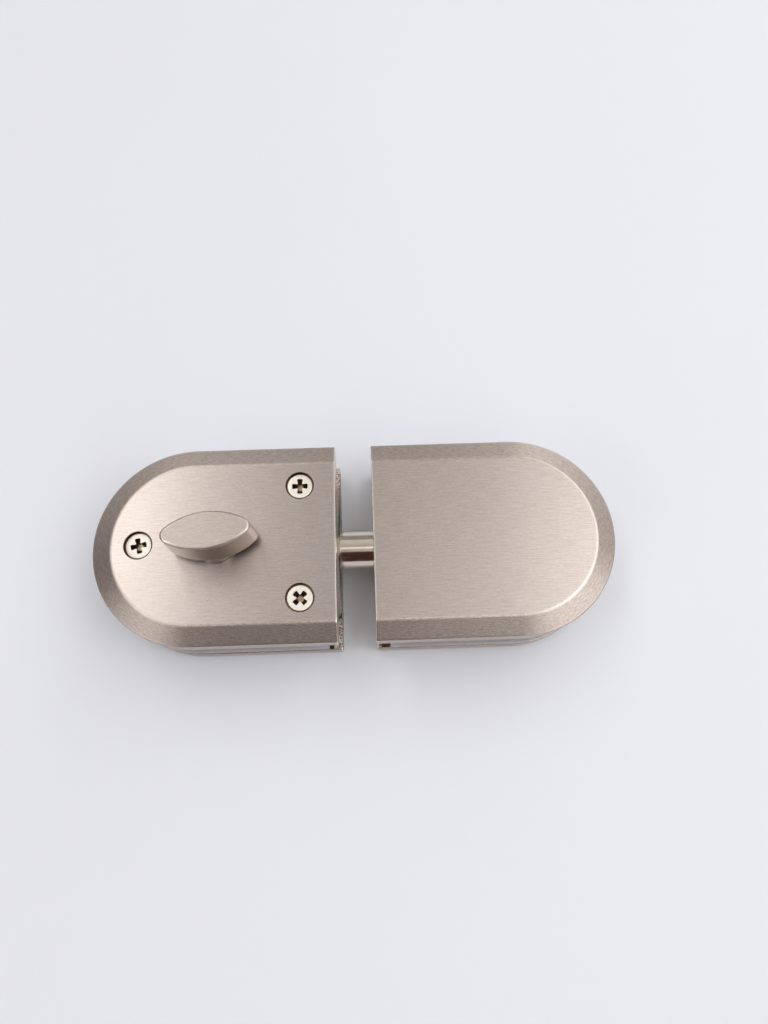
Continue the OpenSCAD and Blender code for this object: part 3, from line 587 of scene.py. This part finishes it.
# gasket: a rounded bar section (across t, height z) carried round a U, P = path(s) + t * outward(s)
def gasket(name, side, low, start, body):
    look = gasketLook
    outer, inner = look["outerWidth"] / 2, look["innerWidth"] / 2
    centre = look["outerEnd"] - outer
    soft, thick = look["soft"], look["thick"]
    width = outer - inner
    section = np.concatenate([
        arc(width - soft, soft, soft, -90, 0, 4), arc(width - soft, thick - soft, soft, 0, 90, 4),
        arc(soft, thick - soft, soft, 90, 180, 4), arc(soft, soft, soft, 180, 270, 4)])
    turn = np.radians(np.linspace(-90, 90, 73))
    straight = np.linspace(start, centre, look["sideSteps"])[:-1]
    quarter = np.full(len(straight), math.pi / 2)
    pathX = np.concatenate([straight, np.full(len(turn), centre), straight[::-1]])
    pathTurn = np.concatenate([-quarter, turn, quarter])
    radius = inner + section[None, :, 0]
    rings = np.stack([
        pathX[:, None] + radius * np.cos(pathTurn)[:, None],
        radius * np.sin(pathTurn)[:, None],
        low + section[None, :, 1] + 0 * pathX[:, None]], axis=-1)
    piece = stackedRings(name, rings, [gasketFinish], 0, (1, 2))
    finishPiece(piece, side, body, [name.replace("_strip", "")], 40)
    print("made", name)


backLow = plateLook["thick"]
frontLow = totalHeight - backLow - gasketLook["thick"]
lockStart, keeperStart = 3.7, 4.3     # from the flat end, mm
gasket("lock_front_gasket_strip", lockSide, frontLow, lockStart, "lock_body")
gasket("lock_back_gasket_strip", lockSide, backLow, lockStart, "lock_body")
gasket("keeper_front_gasket_strip", keeperSide, frontLow, keeperStart, "keeper")
gasket("keeper_back_gasket_strip", keeperSide, backLow, keeperStart, "keeper")


screwFinishes = [screwFinish, recessShadeFinish, recessBottomHighlightFinish]     # head, recess walls in painted shade, recess bottom with a painted highlight
screwLook = dict(
    shank=1.98, head=3.75, land=0.45, sink=0.8, tip=3.2,
    crossHalf=2.3, crossWidth=1.6, crossDepth=1.9, crossCorner=0.2, crossTurnIn=0.22, headSoft=0.12,
)


# cross outline: one arm's end corners and the inner corner after it as arcs, turned through four quarters
def crossOutline(reach, width, outer, inner):
    half, waist = width / 2, 0.4 * width      # the arms flare outwards
    arm = np.concatenate([
        arc(reach - outer, -half + outer, outer, -90, 0, 4),
        arc(reach - outer, half - outer, outer, 0, 90, 4),
        arc(waist + inner, waist + inner, inner, 270, 180, 4)])
    quarter = np.array([(0, 1), (-1, 0)])
    return np.concatenate([arm @ np.linalg.matrix_power(quarter, k) for k in range(4)])


# cross recess: cross outlines that shrink with depth, each arm's end sloping in to a blunt point
def crossCutter(x, y, turn, top, look):
    depth = look["crossDepth"]
    levels = [    # depth, reach, width
        (-0.5, look["crossHalf"] + 0.06, look["crossWidth"] + 0.05),
        (0.0, look["crossHalf"] + 0.03, look["crossWidth"] + 0.03),
        (0.1, look["crossHalf"], look["crossWidth"]),
        (0.55 * depth, 0.75 * look["crossHalf"], 0.9 * look["crossWidth"]),
        (depth, 0.4 * look["crossHalf"], 0.8 * look["crossWidth"])]
    rings = []
    for down, reach, width in levels[::-1]:
        outline = crossOutline(reach, width, look["crossTurnIn"] * width, look["crossCorner"])
        rings.append(np.column_stack([outline, np.full(len(outline), top - down)]))
    rings = np.stack(rings)
    a = math.radians(turn)
    turned = rings.copy()
    turned[..., 0] = x + rings[..., 0] * math.cos(a) - rings[..., 1] * math.sin(a)
    turned[..., 1] = y + rings[..., 0] * math.sin(a) + rings[..., 1] * math.cos(a)
    cutter = stackedRings("cross", turned, screwFinishes, 1)
    bottom = facesUp(cutter) < -0.9          # the recess bottom, painted lighter as a highlight
    cutter.data.polygons.foreach_set("material_index", np.where(bottom, 2, 1).astype(np.int32))
    return cutter


# three countersunk screws in one piece: each a turned profile with the cross recess carved out of its head
def plateScrews(name, side, over, body, node):
    look = screwLook
    top = totalHeight - look["sink"]
    coneTop = top - look["land"]
    soft = look["headSoft"]
    lip = arc(look["head"] - soft, top - soft, soft, 0, 90, 3)
    profile = [(look["shank"] - 0.5, look["tip"]), (look["shank"], look["tip"] + 0.5)]
    profile += [(look["shank"], coneTop - (look["head"] - look["shank"])), (look["head"], coneTop)]
    profile += lip.tolist() + [(2.6, top)]
    trio = None
    for x, y, turn in screwSpots:
        screw = turnedBody("screw", profile, screwFinishes, 0, (x, y), 64)
        carve(screw, [crossCutter(x, y, turn, top, look)])
        trio = carve(trio, [screw], "UNION") if trio else screw
    place = side @ turnOver if over else side
    trio.name = name
    finishPiece(trio, place, body, [node], 30)
    print("made", name)


plateScrews("lock_screws_cross_head", lockSide, False, "lock_body", "lock_plate_screws")
plateScrews("keeper_screws_cross_head", keeperSide, True, "keeper", "keeper_screws")


knobLook = dict(
    length=24.7, width=10.9, flare=1.2, tip=2.5, foot=32.2, top=43.2,
    topSoft=0.45, topRoll=0.8, footSoft=0.3, topOut=0.06,
    tipStart=0.55, tipFade=0.25,          # the brightened tips, partly abrasion and partly a painted highlight, as shares of the blade's half length
    turn=5.8, neck=6.2, neckFoot=29.15, neckSoft=0.25, shank=4.5, shankFoot=22.9,
    ringInner=3.9, ringOuter=6.0, ringLow=23.45, ringHigh=24.35,     # groove of the retaining ring
    socketHalf=2.55, socketTop=34.3,      # square hole of the spindle
)


# pointed oval with rounded tips, for arrays of length, width and tip radius: two side arcs of radius
# (l * l + w * w) / (2 w) on the core's half length l and half width w, pushed out by the tip radius
def ovalRings(length, width, tip, levels):
    length, width, tip, levels = (np.asarray(a, float)[:, None] for a in (length, width, tip, levels))
    halfLength, halfWidth = length / 2 - tip, width / 2 - tip
    radius = (halfLength ** 2 + halfWidth ** 2) / (2 * halfWidth)
    spread = np.arcsin(halfLength / radius)
    sideStep = np.linspace(-1, 1, 33)[None, :-1]
    tipStep = np.linspace(-1, 1, 17)[None, :-1]
    parts = []
    for half in (0, 1):
        sign = 1 - 2 * half
        angle = half * math.pi + (math.pi / 2 - spread) * tipStep
        parts.append((sign * halfLength + tip * np.cos(angle), tip * np.sin(angle)))
        angle = half * math.pi + math.pi / 2 + spread * sideStep
        parts.append(((radius + tip) * np.cos(angle),
                      (radius + tip) * np.sin(angle) - sign * (radius - halfWidth)))
    x = np.concatenate([part[0] for part in parts], axis=1)
    y = np.concatenate([part[1] for part in parts], axis=1)
    return np.stack([x, y, levels + 0 * x], axis=-1)


# thumbturn: the blade's oval rings from its flared foot to the rolled top edge, joined to a turned neck and
# shank, with the retaining ring's groove and the spindle's square hole cut out
def thumbturn(name):
    look = knobLook
    foot, top, flare = look["foot"], look["top"], look["flare"]
    footSoft, topSoft = look["footSoft"], look["topSoft"]
    footArc = arc(-footSoft, foot + footSoft, footSoft, -90, 0, 4)
    topArc = arc(-topSoft, top - topSoft, topSoft, 0, 90, 10)
    topArc[:, 0] *= look["topRoll"] / topSoft      # rolls off gently before it drops
    side = np.linspace(0, 1, 6)[1:-1]
    low, high = foot + footSoft, top - topSoft
    offset = np.concatenate([
        footArc[:, 0] + flare / 2, flare / 2 * (1 - side) + look["topOut"] * side,
        topArc[:, 0] + look["topOut"]])
    level = np.concatenate([footArc[:, 1], low + (high - low) * side, topArc[:, 1]])
    shrink = np.concatenate([footArc[:, 0], 0 * side, topArc[:, 0]])
    rings = ovalRings(look["length"] + 2 * offset, look["width"] + 2 * offset, look["tip"] + shrink, level)
    rollWearAndHighlight = [0, 0, 0, 0, 0, 0.2, 0.4, 0.6, 0.7, 0.6, 0]      # round the top edge, brightest near the top; partly abrasion, partly a painted highlight
    rubbedAndLit = np.array([0.2] * len(footArc) + [0] * len(side) + rollWearAndHighlight)
    reach = np.abs(rings[..., 0])
    tips = np.clip((reach / reach.max() - look["tipStart"]) / look["tipFade"], 0, 1)
    blade = stackedRings(name, rings, [knobFinish], 0, (0, 1), rubbedAndLit[:, None] * tips)
    blade.data.transform(Matrix.Rotation(math.radians(-look["turn"]), 4, "Z"))
    neck, neckFoot, neckSoft = look["neck"], look["neckFoot"], look["neckSoft"]
    shank, shankFoot = look["shank"], look["shankFoot"]
    profile = [(shank - 0.3, shankFoot), (shank, shankFoot + 0.3), (shank, neckFoot)]
    profile += arc(neck - neckSoft, neckFoot + neckSoft, neckSoft, -90, 0, 4).tolist()
    profile += [(neck, foot + 0.6), (neck - 1, foot + 1.6)]      # ends inside the blade
    carve(blade, [turnedBody("stem", profile, [knobFinish], 0, (0, 0), 80)], "UNION")
    inner, outer = look["ringInner"], look["ringOuter"]
    ringLow, ringHigh = look["ringLow"], look["ringHigh"]
    ring = turnedBody("ring", [(inner, ringLow), (outer, ringLow), (outer, ringHigh), (inner, ringHigh)],
                      [knobFinish], 0)
    carve(ring, [turnedBody("core", [(inner, ringLow - 0.45), (inner, ringHigh + 0.65)], [knobFinish], 0)])
    half = look["socketHalf"]
    socket = prism("socket", box(-half, half, -half, half), shankFoot - 1, look["socketTop"], [knobFinish])
    carve(blade, [ring, socket])
    blade.data.transform(Matrix.Translation((knobX, 0, 0)))
    upright = np.abs(facesUp(blade)) < 0.7          # the sides are smoothed, the top is brushed
    blade.data.materials.append(knobSideFinish)
    blade.data.polygons.foreach_set("material_index", upright.astype(np.int32))
    finishPiece(blade, lockSide, "thumbturn", ["thumbturn_knob"], 32)
    print("made", name)


thumbturn("thumbturn_blade")


boltLook = dict(
    radius=6.0, tipX=-18.178, chamfer=1.0, soft=0.3, tailEnd=33.011, roundEnd=10.122,
    tailDrop=0.5,       # the flat tail's top lies this far below the bolt's middle
    yokeX=26.461, yokeHalf=5.05, yokeReach=16.0, yokeCorner=2.5, yokeThick=3.0,
    slotHalf=2.5, slotStart=6.54, slotEnd=14.8,     # slot of the drive pin, across the bolt
)


# bolt: rings of the profile (radius, x) about the bolt's own axis, P = (x, r cos a, middle + r sin a), with a
# flat tail behind and the yoke on it; the profile is a flat tip, a chamfer with eased corners and the shank
def boltRod(name):
    look = boltLook
    radius, soft, chamfer, tip = look["radius"], look["soft"], look["chamfer"], look["tipX"]
    ease = soft * math.tan(math.radians(22.5))
    diagonal = soft * math.sin(math.radians(45)) / 2
    profile = [(radius - chamfer - ease, tip), (radius - chamfer - ease / 3, tip + 0.03),
               (radius - chamfer + diagonal, tip + diagonal + 0.01),
               (radius - diagonal, tip + chamfer - diagonal + 0.01),
               (radius - 0.03, tip + chamfer + ease / 3), (radius, tip + chamfer + ease)]
    profile += [(radius, x) for x in np.linspace(tip + chamfer + 1, look["tailEnd"], 12)]
    profile = np.array(profile)
    angle = np.arange(96) * 2 * math.pi / 96
    rings = np.stack([
        profile[:, 1:] + 0 * angle,
        profile[:, :1] * np.cos(angle),
        middle + profile[:, :1] * np.sin(angle)], axis=-1)
    rod = stackedRings(name, rings, [boltFinish], 0, (1, 2))
    tailTop = middle - look["tailDrop"]
    carve(rod, [prism("tail", box(look["roundEnd"], 60, -15, 15), tailTop, 40, [boltFinish])])
    reach, corner = look["yokeReach"], look["yokeCorner"]
    left, right = look["yokeX"] - look["yokeHalf"], look["yokeX"] + look["yokeHalf"]
    yoke = prism("yoke", [
        (left, 0), (right, 0), (right, reach - corner), (right - corner, reach),
        (left + corner, reach), (left, reach - corner)], tailTop - look["yokeThick"], tailTop, [boltFinish])
    carve(rod, [yoke], "UNION")
    slot = prism("slot", box(look["yokeX"] - look["slotHalf"], look["yokeX"] + look["slotHalf"],
                             look["slotStart"], look["slotEnd"]),
                 tailTop - look["yokeThick"] - 1, tailTop + 1, [boltFinish])
    carve(rod, [slot])
    finishPiece(rod, lockSide, "bolt", ["bolt"], 32)
    print("made", name)


boltRod("bolt_rod")


# copy of a CAD node's mesh, welded, with its outer edges broken: corner edges by corner, all by soft (mm)
def easedCopy(name, nodeName, body, finish, look):
    mesh = nodes[nodeName].data.copy()
    mesh.name = name
    shell = bmesh.new()
    shell.from_mesh(mesh)
    bmesh.ops.remove_doubles(shell, verts=shell.verts, dist=0.001 * mm)
    bmesh.ops.dissolve_limit(shell, angle_limit=math.radians(1), verts=shell.verts, edges=shell.edges)
    endX, cornerY = look["endX"] * mm, look["cornerY"] * mm
    near = 0.01 * mm
    corners = [edge for edge in shell.edges if all(
        abs(v.co.x - endX) < near and abs(abs(v.co.y) - cornerY) < near for v in edge.verts)]
    bmesh.ops.bevel(shell, geom=corners, offset=look["corner"] * mm, segments=1, affect="EDGES",
                    profile=0.5)
    shell.to_mesh(mesh)
    shell.free()
    mesh.materials.clear()
    mesh.materials.append(finish)
    piece = bpy.data.objects.new(name, mesh)
    bpy.context.scene.collection.objects.link(piece)
    soften = piece.modifiers.new("soft edges", "BEVEL")
    soften.width = look["soft"] * mm
    soften.segments = 3
    soften.limit_method = "ANGLE"
    soften.angle_limit = math.radians(40)
    bakeModifiers(piece)
    finishPiece(piece, Matrix.Identity(4), body, [nodeName])
    print("made", name, len(piece.data.polygons), "faces,", len(corners), "corners broken")


caseLook = dict(endX=-4.7, cornerY=20.0, corner=1.8, soft=0.15)
easedCopy("case_shell", "case_body", "lock_body", caseFinish, caseLook)

nodeFinishes = {
    "case_cover": caseFinish, "case_cover_screws": springFinish,
    "bolt_bush": bushFinish, "cam": brassFinish, "drive_pin": pinFinish,
    "detent_spring": springFinish, "spindle": pinFinish, "knob_bush": bushFinish,
    "knob_washer": springFinish, "retaining_ring": springFinish,
    "keeper_block": caseFinish, "keeper_liner": bushFinish, "keeper_spacer": caseFinish,
}
for nodeName, finish in nodeFinishes.items():
    nodeMesh = nodes[nodeName].data
    nodeMesh.materials.clear()
    nodeMesh.materials.append(finish)
print("carried over", len(nodeFinishes), "nodes")


paperLook = dict(size=3.0, drop=0.05, colour="#F2F6FD", shade="#EDF1F8")     # size in m, drop in mm


# Matt paper: uncoated sheet, so it shows no highlight, only faint fibres and a slow change of tone.
def paperFloor():
    half = paperLook["size"] / 2
    corners = np.array([(-half, -half, 0), (half, -half, 0), (half, half, 0), (-half, half, 0)])
    material, tree, shader = startMaterial("matt_paper", {"Roughness": 0.85, "Specular IOR Level": 0.3})
    place = addNode(tree, "TexCoord")
    fibre = addNode(tree, "TexNoise", None, {"Vector": (place, "Object"), "Scale": 900.0, "Detail": 4.0})
    cloud = addNode(tree, "TexNoise", None, {"Vector": (place, "Object"), "Scale": 4.0, "Detail": 2.0})
    tone = addNode(tree, "Mix", {"data_type": "RGBA"}, {
        0: (cloud, 0), 6: linearColour(paperLook["shade"]), 7: linearColour(paperLook["colour"])})
    tree.links.new(tone.outputs[2], shader.inputs["Base Color"])
    bump = addNode(tree, "Bump", None, {"Height": (fibre, 0), "Strength": 0.15, "Distance": 0.05 * mm})
    tree.links.new(bump.outputs["Normal"], shader.inputs["Normal"])
    mesh = bpy.data.meshes.new("paper_floor")
    mesh.from_pydata(corners.tolist(), [], [(0, 1, 2, 3)])
    mesh.materials.append(material)
    floor = bpy.data.objects.new("paper_floor", mesh)
    floor.location.z = -paperLook["drop"] * mm
    bpy.context.scene.collection.objects.link(floor)


paperFloor()

# soft panels hung level above the table, each a little higher than the last so that none shades another;
# seen from the object they lie between these angles off straight up, in degrees towards +X and towards +Y;
# a radiance of 1 shows a white surface about as it is written
lampHeight, lampRise = 1.3, 0.02
lamps = {
    "overhead_panel": dict(towardX=(-30, 39), towardY=(-22, 51), radiance=0.44),
    "right_long_panel": dict(towardX=(25, 54), towardY=(-72, 72), radiance=1.36),
    "right_square_panel": dict(towardX=(13, 30), towardY=(-10, 21), radiance=1.22),
    "right_front_strip": dict(towardX=(2, 54), towardY=(-22, 0), radiance=1.31),
    "left_strip": dict(towardX=(-30, -19), towardY=(-10, 51), radiance=2.52),
    "left_front_panel": dict(towardX=(-56, -30), towardY=(-52, -10), radiance=1.45),
    "centre_strip": dict(towardX=(-19, -9), towardY=(0, 34), radiance=0.60),
    "small_top_panel": dict(towardX=(-9, 9), towardY=(-5, 5), radiance=0.70),
}
lampColour = "#FFFFFF"


def addLamp(name, look, height):
    left, right = (height * math.tan(math.radians(a)) for a in look["towardX"])
    front, back = (height * math.tan(math.radians(a)) for a in look["towardY"])
    data = bpy.data.lights.new(name, "AREA")
    data.shape = "RECTANGLE"
    data.size, data.size_y = right - left, back - front
    data.energy = look["radiance"] * math.pi * data.size * data.size_y     # watts for that radiance
    data.color = linearColour(lampColour)[:3]
    lamp = bpy.data.objects.new(name, data)
    lamp.location = ((left + right) / 2, (front + back) / 2, height)
    bpy.context.scene.collection.objects.link(lamp)


for order, (lampName, lampLook) in enumerate(lamps.items()):
    addLamp(lampName, lampLook, lampHeight + lampRise * order)
print("hung", len(lamps), "lamps")

# room: dark brown in front, grey behind, with a pale backdrop that stands up to about 12 degrees
roomLook = dict(front="#46302A", back="#A19C98", backdrop="#E4E4EA", lowEdge=0.05, highEdge=0.16)


def studioRoom():
    world = bpy.data.worlds.new("studio_room")
    bpy.context.scene.world = world
    world.use_nodes = True
    tree = world.node_tree
    background = tree.nodes["Background"]
    place = addNode(tree, "TexCoord")
    axes = addNode(tree, "SeparateXYZ", None, {0: (place, "Generated")})
    low = addNode(tree, "MapRange", {"interpolation_type": "SMOOTHSTEP"}, {
        0: (axes, 2), 1: roomLook["lowEdge"], 2: roomLook["highEdge"], 3: 1.0, 4: 0.0})
    path = addNode(tree, "LightPath")
    mirrored = addNode(tree, "Math", {"operation": "MAXIMUM"}, {
        0: (path, "Is Glossy Ray"), 1: (path, "Is Transmission Ray")})
    onLow = addNode(tree, "Math", {"operation": "MULTIPLY"}, {0: (mirrored, 0), 1: (low, 0)})
    pale = addNode(tree, "Math", {"operation": "MAXIMUM"}, {0: (path, "Is Camera Ray"), 1: (onLow, 0)})
    toBack = addNode(tree, "MapRange", {"interpolation_type": "SMOOTHSTEP"}, {
        0: (axes, 1), 1: 0.0, 2: 0.8, 3: 0.0, 4: 1.0})
    room = addNode(tree, "Mix", {"data_type": "RGBA"}, {
        0: (toBack, 0), 6: linearColour(roomLook["front"]), 7: linearColour(roomLook["back"])})
    seen = addNode(tree, "Mix", {"data_type": "RGBA"}, {
        0: (pale, 0), 6: (room, 2), 7: linearColour(roomLook["backdrop"])})
    tree.links.new(seen.outputs[2], background.inputs["Color"])
    background.inputs["Strength"].default_value = 1.0


studioRoom()

# camera: 17 degrees off straight down, fitted to the outline of both halves in a 768 x 1024 frame
cameraLook = dict(place=(6.35, -55.15, 236.1), yaw=-2.362, tilt=16.923, roll=0.43, lens=25.6, sensor=36)


def addCamera():
    look = cameraLook
    data = bpy.data.cameras.new("camera")
    data.sensor_width = look["sensor"]
    data.lens = look["lens"]
    data.clip_start = 0.01
    data.clip_end = 20
    camera = bpy.data.objects.new("camera", data)
    turn = Matrix.Identity(4)
    for angle, axis in ((look["yaw"], "Z"), (look["tilt"], "X"), (look["roll"], "Z")):
        turn = turn @ Matrix.Rotation(math.radians(angle), 4, axis)
    camera.matrix_world = Matrix.Translation([c * mm for c in look["place"]]) @ turn
    bpy.context.scene.collection.objects.link(camera)
    bpy.context.scene.camera = camera


addCamera()
bpy.context.scene.view_settings.view_transform = "Standard"
